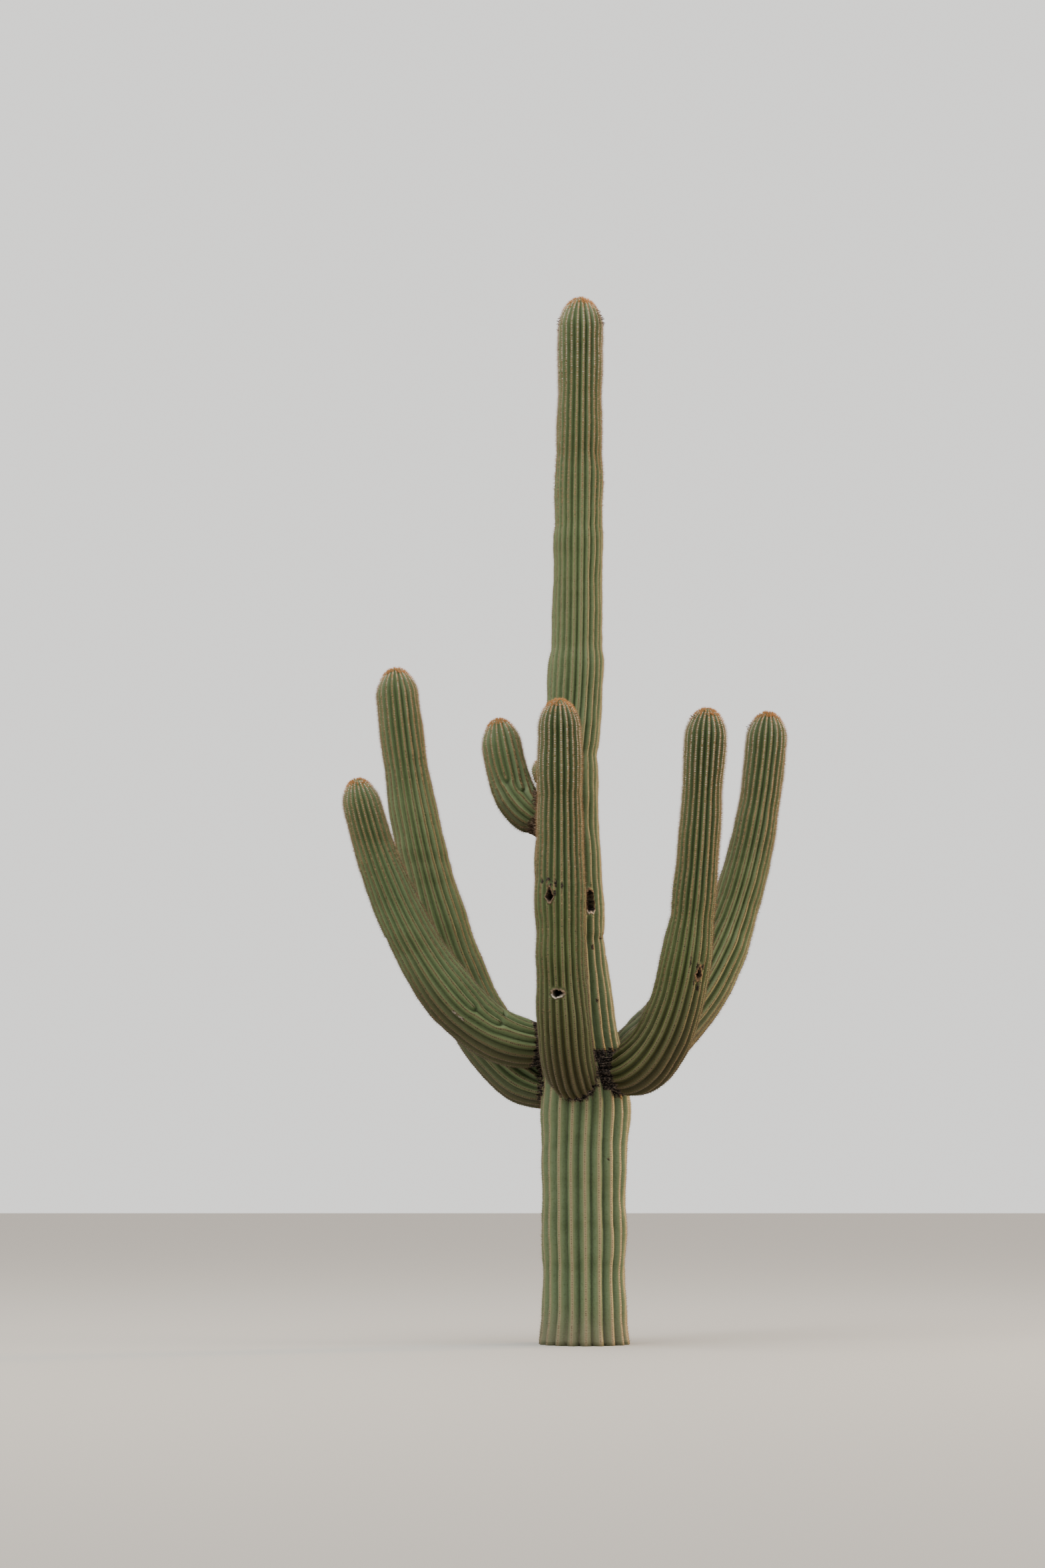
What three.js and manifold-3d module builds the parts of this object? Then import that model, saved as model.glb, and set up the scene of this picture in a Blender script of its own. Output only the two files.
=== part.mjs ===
// A saguaro cactus rooted in the ground: a ribbed trunk, five arms that bend up round it, a short upper arm and a bud.
// Millimetres, +Z up. The origin is the centre of the flat cut at ground level, +X is right and -Y is the front.
// Each stem is a star of ribs swept along its centreline. Each long arm is two pieces, which part where it bends.
import * as THREE from "three";
import { mergeVertices } from "three/addons/utils/BufferGeometryUtils.js";
import Module from "manifold-3d";

const wasm = await Module();
wasm.setup();

// Clearances and fineness
const PIECE_GAP = 0.5; // between two pieces that meet
const ROW_STEP = 200; // along a straight stem
const BEND_STEP = 125; // along an elbow
const DOME_ROWS = [0.35, 0.65, 0.85, 0.97]; // shares of the dome's height that have a ring

// Ribs and yearly growth
const GROOVE = 0.14; // share of the radius that a groove is sunk by
const DOME_SLENDER = 1.35; // height of a rounded tip over its radius
const SWELL = [
  { length: 930, share: 0.016 },
  { length: 520, share: 0.012 },
];

// The trunk: how far its centre leans to +X, and its radius over the ribs, at some heights
const TRUNK_HEIGHT = 8680;
const TRUNK_RIBS = 22;
const TRUNK_LEAN = [
  [0, 0],
  [1500, 0],
  [2050, 12],
  [2550, -50],
  [3130, -95],
  [3950, -128],
  [4650, -127],
  [5350, -70],
  [6300, -45],
  [TRUNK_HEIGHT, -17],
];
const TRUNK_RADIUS = [
  [0, 372],
  [250, 348],
  [900, 342],
  [1500, 354],
  [2050, 360],
  [2550, 326],
  [3130, 288],
  [3950, 274],
  [4650, 245],
  [5350, 231],
  [6300, 204],
  [7300, 189],
  [TRUNK_HEIGHT, 184],
];

// An arm lies in an upright plane through the trunk's centre, turned by bearing from +X towards +Y, in degrees.
// Its centreline begins inside the trunk, at height root, and starts out at the angle rise for about launch. It ends at
// tip [reach, height], where it leans out by lean degrees after running straight for about upright. The radii are over
// the ribs: neck is where it leaves the trunk, and the others follow at the places that GIRTHS gives.
const ARMS = {
  arm_front: {
    bearing: -104,
    root: 2150,
    rise: -5,
    launch: 890,
    tip: [890, 5190],
    lean: 4,
    upright: 1490,
    radius: { neck: 172, elbow: 215, thigh: 204, waist: 202, shoulder: 177, head: 177 },
    ribs: 21,
    swellFrom: 2.1,
  },
  arm_left_front: {
    bearing: -165,
    root: 2475,
    rise: -19,
    launch: 860,
    tip: [1880, 4585],
    lean: 11,
    upright: 1000,
    radius: { neck: 175, elbow: 215, thigh: 226, waist: 201, shoulder: 170, head: 144 },
    ribs: 20,
    swellFrom: 0.4,
  },
  arm_left_rear: {
    bearing: 155,
    root: 2070,
    rise: -4,
    launch: 810,
    tip: [1765, 5650],
    lean: 5,
    upright: 1840,
    radius: { neck: 172, elbow: 232, thigh: 241, waist: 223, shoulder: 190, head: 171 },
    ribs: 20,
    swellFrom: 1.3,
  },
  arm_right_front: {
    bearing: -37,
    root: 2235,
    rise: -16,
    launch: 950,
    tip: [1250, 5130],
    lean: 5,
    upright: 1490,
    radius: { neck: 174, elbow: 232, thigh: 215, waist: 179, shoulder: 164, head: 169 },
    ribs: 20,
    swellFrom: 4.6,
  },
  arm_right_rear: {
    bearing: 33,
    root: 2240,
    rise: 14,
    launch: 960,
    tip: [1920, 5310],
    lean: 4,
    upright: 1730,
    radius: { neck: 174, elbow: 240, thigh: 263, waist: 207, shoulder: 176, head: 170 },
    ribs: 20,
    swellFrom: 3.2,
  },
  arm_upper: {
    bearing: 168,
    inside: 130,
    root: 4230,
    rise: 26,
    launch: 360,
    tip: [590, 5145],
    lean: 8,
    upright: 590,
    radius: { neck: 138, elbow: 165, thigh: 170, waist: 172, shoulder: 163, head: 156 },
    ribs: 17,
    swellFrom: 5.5,
    neckAt: 120,
    elbowAt: 220,
    whole: true,
  },
  bud: {
    bearing: -140,
    root: 4580,
    rise: 15,
    launch: 130,
    tip: [285, 4780],
    lean: 2,
    upright: 110,
    radius: { neck: 50, elbow: 71, thigh: 76, waist: 78, shoulder: 79, head: 78 },
    ribs: 11,
    swellFrom: 0,
    neckAt: 40,
    elbowAt: 80,
    whole: true,
  },
};
const ROOT_INSIDE = 180; // how far from the trunk's centre an arm's centreline begins, unless inside says
const NECK_AT = 140; // along the arm from there
const ELBOW_AT = 400;
const GIRTHS = { thigh: 0.32, waist: 0.53, shoulder: 0.76, head: 1 }; // shares of the arm's length
const BEND_DEG = 52; // a long arm is split where it has turned this steep
const CURVE_STEPS = 400;

// Nest holes pecked into the stems: where along the stem, which way they face, and their size
const NESTS = [
  { on: "arm_front", along: 1806, bearing: -116, width: 78, height: 112, depth: 130 },
  { on: "arm_front", along: 1050, bearing: -101, width: 82, height: 56, depth: 130 },
  { on: "trunk", along: 3603, bearing: -52, width: 86, height: 170, depth: 130 },
  { on: "arm_right_front", along: 1313, bearing: -54, width: 66, height: 92, depth: 110 },
];
const NEST_SIDES = 10;
const NEST_TAPER = 0.7; // inner width over the mouth's
const NEST_PROUD = 40; // how far the cutter stands out of the skin

const STEM_COLOUR = 0x5f7a52;

const degrees = THREE.MathUtils.degToRad;

// A smooth curve through rows of [place, value], with no change past either end.
function through(rows, place) {
  const last = rows.length - 1;
  if (place <= rows[0][0]) return rows[0][1];
  if (place >= rows[last][0]) return rows[last][1];
  const i = rows.findIndex(([at]) => at > place) - 1;
  const slope = (k) => {
    const [before, after] = [rows[Math.max(k - 1, 0)], rows[Math.min(k + 1, last)]];
    return (after[1] - before[1]) / (after[0] - before[0]);
  };
  const span = rows[i + 1][0] - rows[i][0];
  const t = (place - rows[i][0]) / span;
  return (
    rows[i][1] * (1 + 2 * t) * (1 - t) ** 2 +
    slope(i) * span * t * (1 - t) ** 2 +
    rows[i + 1][1] * t * t * (3 - 2 * t) +
    slope(i + 1) * span * t * t * (t - 1)
  );
}

// The stem is a little thicker and thinner by turns, as it grew year by year.
function swelling(along, from) {
  return SWELL.reduce(
    (sum, { length, share }, k) =>
      sum + share * Math.sin((2 * Math.PI * along) / length + from * (k + 1)),
    1,
  );
}

// The share of the radius that is left within the rounded tip.
function doming(along, length, headRadius) {
  const height = headRadius * DOME_SLENDER;
  const into = Math.max(0, along - (length - height)) / height;
  return Math.sqrt(Math.max(0, 1 - into * into));
}

// A stem has its length, ribs, radius and centreline, and the bearing from which its ribs are counted.
function trunkStem() {
  const headRadius = through(TRUNK_RADIUS, TRUNK_HEIGHT);
  return {
    length: TRUNK_HEIGHT,
    headRadius,
    ribs: TRUNK_RIBS,
    bearing: 0,
    centre: (along) => new THREE.Vector3(through(TRUNK_LEAN, along), 0, along),
    tangent: () => new THREE.Vector3(0, 0, 1),
    radius: (along) => through(TRUNK_RADIUS, along) * swelling(along, 1.7),
  };
}

function armCurve({ bearing, inside = ROOT_INSIDE, root, rise, launch, tip, lean, upright }) {
  const axis = through(TRUNK_LEAN, root);
  const turn = degrees(bearing);
  const place = (reach, height) =>
    new THREE.Vector3(axis + reach * Math.cos(turn), reach * Math.sin(turn), height);
  const [reach, height] = tip;
  const out = degrees(rise);
  const over = degrees(lean);
  const curve = new THREE.CubicBezierCurve3(
    place(inside, root),
    place(inside + launch * Math.cos(out), root + launch * Math.sin(out)),
    place(reach - upright * Math.sin(over), height - upright * Math.cos(over)),
    place(reach, height),
  );
  curve.arcLengthDivisions = CURVE_STEPS;
  return curve;
}

function armStem(arm) {
  const curve = armCurve(arm);
  const length = curve.getLength();
  const girth = [
    [arm.neckAt ?? NECK_AT, arm.radius.neck],
    [arm.elbowAt ?? ELBOW_AT, arm.radius.elbow],
    ...Object.entries(GIRTHS).map(([name, share]) => [share * length, arm.radius[name]]),
  ];
  return {
    length,
    headRadius: arm.radius.head,
    ribs: arm.ribs,
    bearing: arm.bearing,
    centre: (along) => curve.getPointAt(along / length),
    tangent: (along) => curve.getTangentAt(along / length),
    radius: (along) => through(girth, along) * swelling(along, arm.swellFrom),
  };
}

// The point of the stem's skin at a place along it and an angle round it, sunk by a share of the radius.
function skinPoint(stem, along, angle, sunk = 0, grown = 0) {
  const turn = degrees(stem.bearing);
  const side = new THREE.Vector3(-Math.sin(turn), Math.cos(turn), 0);
  const out = side.clone().cross(stem.tangent(along)).normalize();
  const dome = doming(along, stem.length, stem.headRadius);
  const radius = (stem.radius(along) + grown) * dome * (1 - sunk);
  return stem
    .centre(along)
    .addScaledVector(side, radius * Math.cos(angle))
    .addScaledVector(out, radius * Math.sin(angle));
}

// Where the rings of a stem lie, from one place along it to another, with the rounded tip's own rings at its end.
function ringPlaces(stem, from, to, step) {
  const domeHeight = stem.headRadius * DOME_SLENDER;
  const hasDome = to > stem.length - domeHeight;
  const straightEnd = hasDome ? stem.length - domeHeight : to;
  const steps = Math.max(1, Math.round((straightEnd - from) / step));
  const places = Array.from({ length: steps + 1 }, (_, k) => from + ((straightEnd - from) * k) / steps);
  return hasDome ? [...places, ...DOME_ROWS.map((share) => straightEnd + share * domeHeight)] : places;
}

// Rings of crests and grooves joined into one closed skin, with a point on the centreline at either end.
function stemGeometry(stem, from, to, step, grown = 0) {
  const places = ringPlaces(stem, from, to, step);
  const round = stem.ribs * 2;
  const points = places.flatMap((along) =>
    Array.from({ length: round }, (_, k) =>
      skinPoint(stem, along, (Math.PI * k) / stem.ribs, k % 2 ? GROOVE : 0, grown),
    ),
  );
  const start = points.length;
  points.push(stem.centre(from), stem.centre(to));
  const faces = [];
  for (let k = 0; k < round; k++) {
    const next = (k + 1) % round;
    faces.push(start, k, next);
    for (let row = 0; row < places.length - 1; row++) {
      const [low, high] = [row * round, (row + 1) * round];
      faces.push(low + k, high + k, high + next, low + k, high + next, low + next);
    }
    const top = (places.length - 1) * round;
    faces.push(start + 1, top + next, top + k);
  }
  return new THREE.BufferGeometry().setFromPoints(points).setIndex(faces);
}

// A geometry as a solid that can be cut, and a solid as a geometry.
function solidOf(geometry) {
  const bare = geometry.clone();
  bare.deleteAttribute("normal");
  bare.deleteAttribute("uv");
  const merged = mergeVertices(bare, 1e-3);
  return new wasm.Manifold(
    new wasm.Mesh({
      numProp: 3,
      vertProperties: merged.attributes.position.array,
      triVerts: new Uint32Array(merged.index.array),
    }),
  );
}

function geometryOf(solid) {
  const { vertProperties, triVerts } = solid.getMesh();
  return new THREE.BufferGeometry()
    .setAttribute("position", new THREE.BufferAttribute(vertProperties, 3))
    .setIndex(new THREE.BufferAttribute(triVerts, 1));
}

// The tapering plug that a nest hole takes out of its stem.
function nestPlug(stem, { along, bearing, width, height, depth }) {
  const angle = degrees(stem.bearing + 90 - bearing);
  const mouth = skinPoint(stem, along, angle);
  const inward = stem.centre(along).sub(mouth).normalize();
  const plug = new THREE.CylinderGeometry(0.5, 0.5 * NEST_TAPER, depth + NEST_PROUD, NEST_SIDES);
  const up = stem.tangent(along);
  const sideways = up.clone().cross(inward).normalize();
  plug.applyMatrix4(
    new THREE.Matrix4().makeBasis(
      sideways.multiplyScalar(width),
      inward.clone().negate(),
      up.multiplyScalar(height),
    ),
  );
  const middle = mouth.addScaledVector(inward, (depth - NEST_PROUD) / 2);
  return plug.translate(middle.x, middle.y, middle.z);
}

function mesh(name, solid) {
  const skin = new THREE.MeshStandardMaterial({ color: STEM_COLOUR, roughness: 0.7, metalness: 0 });
  skin.name = name;
  const made = new THREE.Mesh(geometryOf(solid), skin);
  made.name = name;
  return made;
}

// How far along its centreline an arm has bent up to the given angle above level.
function bendPlace(stem, angle) {
  const share = Array.from({ length: CURVE_STEPS }, (_, k) => k / CURVE_STEPS).find(
    (t) => Math.asin(stem.tangent(t * stem.length).z) > degrees(angle),
  );
  return share * stem.length;
}

const stems = { trunk: trunkStem() };
Object.entries(ARMS).forEach(([name, arm]) => {
  stems[name] = armStem(arm);
});

const withNests = (name, solid) =>
  NESTS.filter(({ on }) => on === name).reduce(
    (left, nest) => left.subtract(solidOf(nestPlug(stems[name], nest))),
    solid,
  );

const saguaro = new THREE.Group();
const { trunk } = stems;
saguaro.add(mesh("trunk", withNests("trunk", solidOf(stemGeometry(trunk, 0, TRUNK_HEIGHT, ROW_STEP)))));
const trunkRoom = solidOf(stemGeometry(trunk, 0, TRUNK_HEIGHT, ROW_STEP, PIECE_GAP));

Object.entries(ARMS).forEach(([name, { whole }]) => {
  const stem = stems[name];
  if (whole) {
    saguaro.add(mesh(name, solidOf(stemGeometry(stem, 0, stem.length, BEND_STEP)).subtract(trunkRoom)));
    return;
  }
  const bend = bendPlace(stem, BEND_DEG);
  const elbow = solidOf(stemGeometry(stem, 0, bend, BEND_STEP)).subtract(trunkRoom);
  const upright = solidOf(stemGeometry(stem, bend + PIECE_GAP, stem.length, ROW_STEP));
  saguaro.add(mesh(`${name}_elbow`, elbow));
  saguaro.add(mesh(`${name}_upright`, withNests(name, upright)));
});

export default saguaro;
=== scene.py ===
"""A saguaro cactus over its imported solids: ribbed skins, cork, nest holes, woolly pads and spines."""

import math

import bpy
import numpy as np
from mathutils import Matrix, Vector


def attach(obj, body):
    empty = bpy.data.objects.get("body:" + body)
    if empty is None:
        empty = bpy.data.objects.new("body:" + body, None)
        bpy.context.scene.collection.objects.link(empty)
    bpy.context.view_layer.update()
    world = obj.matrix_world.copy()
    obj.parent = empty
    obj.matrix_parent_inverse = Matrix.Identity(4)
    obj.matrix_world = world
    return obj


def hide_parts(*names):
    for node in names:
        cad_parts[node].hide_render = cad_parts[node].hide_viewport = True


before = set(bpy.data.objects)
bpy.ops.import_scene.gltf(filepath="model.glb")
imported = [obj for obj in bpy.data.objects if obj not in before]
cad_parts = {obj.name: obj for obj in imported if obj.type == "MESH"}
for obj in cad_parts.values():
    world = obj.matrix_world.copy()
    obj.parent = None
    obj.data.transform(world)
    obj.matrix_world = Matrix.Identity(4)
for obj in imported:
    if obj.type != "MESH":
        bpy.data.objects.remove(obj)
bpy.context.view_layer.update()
rng = np.random.default_rng(11)

# Ribs and yearly growth, in metres unless named otherwise
GROOVE = 0.15  # share of the radius that a groove is sunk by
CREST_YOUNG = 1.4  # how round a rib is near the tip: 1 is a V-shaped fold and 2 a round one
CREST_OLD = 2.1  # and well below it
CREST_AGES = (0.1, 1.6)  # from the tip, where it goes from one to the other
DOME_SLENDER = 1.35  # height of a rounded tip over its radius
DOME_POWER = 1.6  # 2 makes a tip half an ellipse, and less makes it more pointed
RIBS_FADE = 0.45  # share of the radius within which the grooves run out over a tip
SWELL = [(0.93, 0.016), (0.52, 0.012)]  # length and share of the radius
UNEVEN = (21, 0.0035, 0.33)  # slow bumps over the whole skin: seed, height and size
WANDER_WAVES = (0, 0, 1, 2, 3)  # round the stem, for each slow drift of the ribs
WANDER_SIZE = (0.1, 0.26)  # in radians of the rib pattern
WANDER_RATE = (1.0, 2.6)  # in radians a metre
BIRTH_ROUND = 0.03  # radius of the rounded end of a rib that starts partway up
BIRTH_SPREAD = 0.8  # how far up and down it pushes the others aside, over the radius
BIRTH_MOVES = 60  # small moves that bring it to the nearest groove

# Fineness of the skins
CURVE_STEPS = 400
COLUMNS_PER_RIB = 10
ROW_STEP = 0.04
CLOSE_STEP = 0.01
CLOSE_BEYOND = 0.015  # past a scar at either end
BIRTH_CLOSE = (0.07, 0.09)  # below and above the start of a rib
DOME_ROWS = 15
TIP_LEFT = 0.16  # share of the radius at the last ring of a dome
TIP_SUNK = 0.004  # how far below its end a tip's last point lies

# The trunk: how far its centre leans to +X, and its radius over the ribs, at some heights
TRUNK_HEIGHT = 8.68
TRUNK_LEAN = [
    (0, 0), (1.5, 0), (2.05, 0.012), (2.55, -0.05), (3.13, -0.095),
    (3.95, -0.128), (4.65, -0.127), (5.35, -0.07), (6.3, -0.045), (TRUNK_HEIGHT, -0.017),
]
TRUNK_RADIUS = [
    (0, 0.372), (0.25, 0.348), (0.9, 0.342), (1.5, 0.354), (2.05, 0.36),
    (2.55, 0.326), (3.13, 0.288), (3.95, 0.274), (4.65, 0.245), (5.35, 0.231),
    (6.3, 0.203), (7.08, 0.203), (7.4, 0.187), (TRUNK_HEIGHT, 0.184),
]

# sage is how waxy and sage a stem is, rather than a deep warm green. young is how far from its tip it is
# young, with many spines and woolly pads, and how far its wool is white, then cream.
# births are ribs that start partway up: how far along, and how far round in degrees.
# pinches are bands where a year's growth was poor: how far along, the share of the radius lost, and width.
TRUNK = {
    "ribs": 22,
    "swell_from": 1.7,
    "sage": 0.64,
    "young": (1.6, 0.65, 1.15),
    "births": [(1.75, 40), (1.9, 300), (2.9, 225)],
    "pinches": [
        (3.3, 0.025, 0.035), (4.83, 0.06, 0.06), (5.72, 0.035, 0.06),
        (6.75, 0.03, 0.05), (7.36, 0.025, 0.05),
    ],
}

# Each arm lies in an upright plane through the trunk's centre. Bearings are degrees from +X towards +Y.
# It sets out at the angle rise, for about launch, and ends at tip, (reach, height), after a leaning upright.
# radii are over the ribs: at its neck, elbow, thigh, waist, shoulder and head.
ARMS = {
    "arm_front": {
        "bearing": -104, "root": 2.15, "rise": -5, "launch": 0.89,
        "tip": (0.89, 5.19), "lean": 4, "upright": 1.49,
        "radii": (0.172, 0.215, 0.204, 0.202, 0.177, 0.177),
        "ribs": 21, "swell_from": 2.1,
        "sage": 0.1, "young": (1.5, 0.6, 1.1),
        "births": [(0.75, 200), (1.1, 340)],
        "pinches": [(1.53, 0.045, 0.13), (1.95, 0.02, 0.035), (2.62, 0.03, 0.04)],
    },
    "arm_left_front": {
        "bearing": -165, "root": 2.475, "rise": -19, "launch": 0.86,
        "tip": (1.88, 4.585), "lean": 11, "upright": 1.0,
        "radii": (0.175, 0.215, 0.226, 0.201, 0.17, 0.144),
        "ribs": 20, "swell_from": 0.4,
        "sage": 1.0, "young": (0.7, 0.12, 0.35),
        "births": [(0.838, 359), (0.585, 341), (0.579, 313), (0.6, 160)],
        "pinches": [(2.2, 0.02, 0.04)],
    },
    "arm_left_rear": {
        "bearing": 155, "root": 2.07, "rise": -4, "launch": 0.81,
        "tip": (1.765, 5.65), "lean": 5, "upright": 1.84,
        "radii": (0.172, 0.232, 0.241, 0.223, 0.19, 0.171),
        "ribs": 20, "swell_from": 1.3,
        "sage": 0.6, "young": (0.9, 0.15, 0.45),
        "births": [(0.5, 120), (0.7, 300), (0.95, 30)],
        "pinches": [(2.45, 0.02, 0.04), (3.3, 0.02, 0.035)],
    },
    "arm_right_front": {
        "bearing": -37, "root": 2.235, "rise": -16, "launch": 0.95,
        "tip": (1.25, 5.13), "lean": 5, "upright": 1.49,
        "radii": (0.174, 0.232, 0.215, 0.179, 0.164, 0.169),
        "ribs": 20, "swell_from": 4.6,
        "sage": 0.1, "young": (1.5, 0.55, 1.1),
        "births": [(0.5, 20), (0.75, 250), (0.6, 300)],
        "pinches": [(1.75, 0.02, 0.04), (2.5, 0.015, 0.035)],
    },
    "arm_right_rear": {
        "bearing": 33, "root": 2.24, "rise": 14, "launch": 0.96,
        "tip": (1.92, 5.31), "lean": 4, "upright": 1.73,
        "radii": (0.174, 0.24, 0.263, 0.207, 0.176, 0.17),
        "ribs": 20, "swell_from": 3.2,
        "sage": 0.35, "young": (1.1, 0.35, 0.75),
        "births": [(0.55, 100), (0.8, 280), (0.65, 10)],
        "pinches": [(2.05, 0.025, 0.04)],
    },
    "arm_upper": {
        "bearing": 168, "inside": 0.13, "root": 4.23, "rise": 26, "launch": 0.36,
        "tip": (0.59, 5.145), "lean": 8, "upright": 0.59,
        "radii": (0.138, 0.165, 0.17, 0.172, 0.163, 0.156),
        "neck_at": 0.12, "elbow_at": 0.22, "ribs": 17, "swell_from": 5.5,
        "sage": 0.8, "young": (0.55, 0.15, 0.3),
        "births": [(0.526, 4), (0.402, 313)],
        "pinches": [],
    },
    "bud": {
        "bearing": -140, "root": 4.58, "rise": 15, "launch": 0.13,
        "tip": (0.285, 4.78), "lean": 2, "upright": 0.11,
        "radii": (0.05, 0.071, 0.076, 0.078, 0.079, 0.078),
        "neck_at": 0.04, "elbow_at": 0.08, "ribs": 11, "swell_from": 0,
        "sage": 0.8, "young": (1, 0.06, 0.12),
        "births": [],
        "pinches": [],
    },
}
ROOT_INSIDE = 0.18  # from the trunk's centre to where an arm's centreline begins
NECK_AT = 0.14  # along the arm from there
ELBOW_AT = 0.4
GIRTHS_AT = (0.32, 0.53, 0.76, 1)  # of the thigh, waist, shoulder and head, as shares of the arm's length
ONE_NODE = ("trunk", "arm_upper", "bud")  # the others are solids of an elbow and an upright

# Cork: round each junction, along some arms' necks, and in a band across the trunk's front
COLLARS = {"arm": 0.03, "bud": 0.012}  # how far out from the trunk
CORK_TO = {"arm_left_front": 0.25, "arm_right_front": 0.25, "arm_upper": 0.16}  # along the arm
CORK_EDGE = (0.008, -0.008)  # past those, where it ends and where it is whole
CORK_RAGGED = [(5, 0.012, 0.05), (6, 0.008, 0.018)]  # bites out of its edge
CORK_NEAR_ARM = (0.022, 0.008)  # from an arm's skin, where the trunk's cork ends and where it is whole
CORK_NECK = 0.35  # how far along an arm the trunk's skin may be near it
CORK_BAND = {"bearing": -48, "height": 2.342, "half": (0.17, 0.05)}
LIVING = {"bearing": -50, "height": 2.335, "half": (0.018, 0.03)}  # green skin left in it
CORK_FLAT = 0.4  # how much longer than high its layers are, as a share
CORK_LAYERS = (22, 0.008, 0.02)
CORK_SUNK = 0.006
CORK_BLACK = {"arm_upper": 0.6}  # share of the cork that is black, where it is not all of it
CORK_ROWS = {"trunk": [(2.02, 2.6, 0.012)], "bud": [], "arm": [(0.08, 0.3, 0.012)]}  # from, to and step

# Nest holes by stem: how far along it, which way they face, their width, height and depth.
# corners is 1 for a diamond, 2 for an oval and more for a box. torn is how ragged the edge is.
# lip is a width, pale is how light the lip is above and below, and pale_to is how high the part below goes.
NESTS = {
    "arm_front": [
        {
            "along": 1.806, "bearing": -116,
            "width": 0.064, "height": 0.12, "depth": 0.12,
            "corners": 1.2, "torn": 0.11, "lip": 0.016,
            "pale": (0.0, 0.12), "pale_to": -0.3,
        },
        {
            "along": 1.05, "bearing": -101,
            "width": 0.084, "height": 0.05, "depth": 0.12,
            "corners": 2.2, "torn": 0.12, "lip": 0.017,
            "pale": (0.12, 1.0), "pale_to": -0.3,
        },
    ],
    "trunk": [
        {
            "along": 3.603, "bearing": -52,
            "width": 0.084, "height": 0.178, "depth": 0.12,
            "corners": 3.5, "torn": 0.07, "lip": 0.012,
            "pale": (0.0, 1.0), "pale_to": -0.85,
        },
    ],
    "arm_right_front": [
        {
            "along": 1.313, "bearing": -54,
            "width": 0.052, "height": 0.088, "depth": 0.1,
            "corners": 1.4, "torn": 0.15, "lip": 0.022,
            "pale": (0.0, 0.0), "pale_to": -0.5,
        },
    ],
}
NEST_ROW_STEP = 0.006
NEST_TEETH = [(3, 2, 1), (7, 1, 0.6), (13, 3, 0.5)]  # waves round its edge, their shift by hole, and weight
NEST_WALL = (-0.003, -0.01)  # from the edge, where a hole starts and where it is at its full depth
NEST_SHADE = (0.003, -0.003)  # and where its painted shade starts and is whole
LIP_PROUD = 0.007
LIP_LUMPS = (23, 0.004, 0.03)
NO_RIBS = (0.012, -0.004)  # past a lip, where the ribs come back and where they have gone

# Scars on the skin, by stem, with the seed of the first one's ragged edge.
# Each is how far along, which way it faces, its width and height, and how grey it is.
SCARS = {
    "arm_front": (40, [
        (1.921, -138, 0.02, 0.035, 0),
        (1.925, -127, 0.03, 0.045, 0),
        (1.935, -119, 0.03, 0.03, 0),
        (1.91, -112, 0.022, 0.05, 0),
        (1.9, -100, 0.024, 0.065, 0),
        (1.88, -86, 0.014, 0.055, 0),
        (1.82, -103, 0.02, 0.05, 0.1),
    ]),
    "trunk": (47, [
        (3.224, -51, 0.03, 0.034, 0.2),
        (3.195, -30, 0.02, 0.03, 0),
        (3.31, -22, 0.07, 0.018, 0),
        (3.34, -6, 0.09, 0.034, 0),
        (2.791, -56, 0.02, 0.03, 0.2),
        (2.93, -12, 0.014, 0.11, 0.9),
        (6.024, -8, 0.02, 0.04, 0),
        (5.35, -11, 0.03, 0.085, 0.1),
        (1.502, -57, 0.03, 0.02, 0),
    ]),
    "arm_left_front": (56, [
        (1.686, -179, 0.05, 0.05, 0),
        (0.95, -106, 0.03, 0.06, 0.75),
        (0.88, -103, 0.026, 0.06, 0.75),
        (0.769, -48, 0.012, 0.05, 0),
    ]),
    "arm_right_front": (60, [
        (1.37, -62, 0.026, 0.03, 0),
        (1.37, -45, 0.03, 0.03, 0),
        (1.25, -64, 0.016, 0.05, 0),
        (1.22, -50, 0.026, 0.07, 0.1),
        (1.39, -80, 0.014, 0.06, 0),
    ]),
}
SCAR_TORN = (0.35, 0.03)  # its share and size
SCAR_EDGE = (1.2, 0.8)
SCAR_DEPTH = 0.007
SCAR_DARK = 0.8

# Colours by stem
CHALKY_AND_HIGHLIGHT = {"trunk": 1.0}  # how pale the old crests are: partly chalky wax, partly a painted highlight
CHALKY_AND_HIGHLIGHT_ARM = 0.35
BROWN_AND_SHADE_UNDER = (1.7, 1.1)  # along an arm, where the underside of its bend stops being darkened: partly real brown, partly painted shade
BROWN_AND_SHADE_FACING = (-0.05, 0.7)  # how far down the skin faces, from where it isn't darkened to where it is

# Pads
PITCH = [(0, 0.0143), (2, 0.0165), (5, 0.017), (7.2, 0.0193)]  # between pads, by distance from the tip
FIRST_PAD = 0.02  # from the tip
PAD_JITTER = 0.12  # of the pitch
RIB_SHIFTS = 7  # heights that the pads of neighbouring ribs take in turn
TIP_BARE = 0.75  # share of the pads left out where ribs crowd together on a tip
TIP_BARE_OVER = (0.55, 0.1)  # shares of the radius there
WRINKLE = 0.0175  # between the fine wrinkles across a rib

# Ages of pads
YOUNG_FADE = (-0.2, 0.4)  # about where a stem stops being young, for the skin's colour
AGE_JITTER = (0.78, 1.25)  # how far a pad may be ahead of its age or behind it
BARE_SHARE = 0.04  # of the woolly pads, the share that has lost its wool
WORN_BELOW = 1.25  # along an arm, where its pads are dark and its spines short
WORN_JITTER = (0.6, 1.5)
CROWN_FROM = 0.8  # share of the radius on a tip, within which the spines are the brightest

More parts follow.
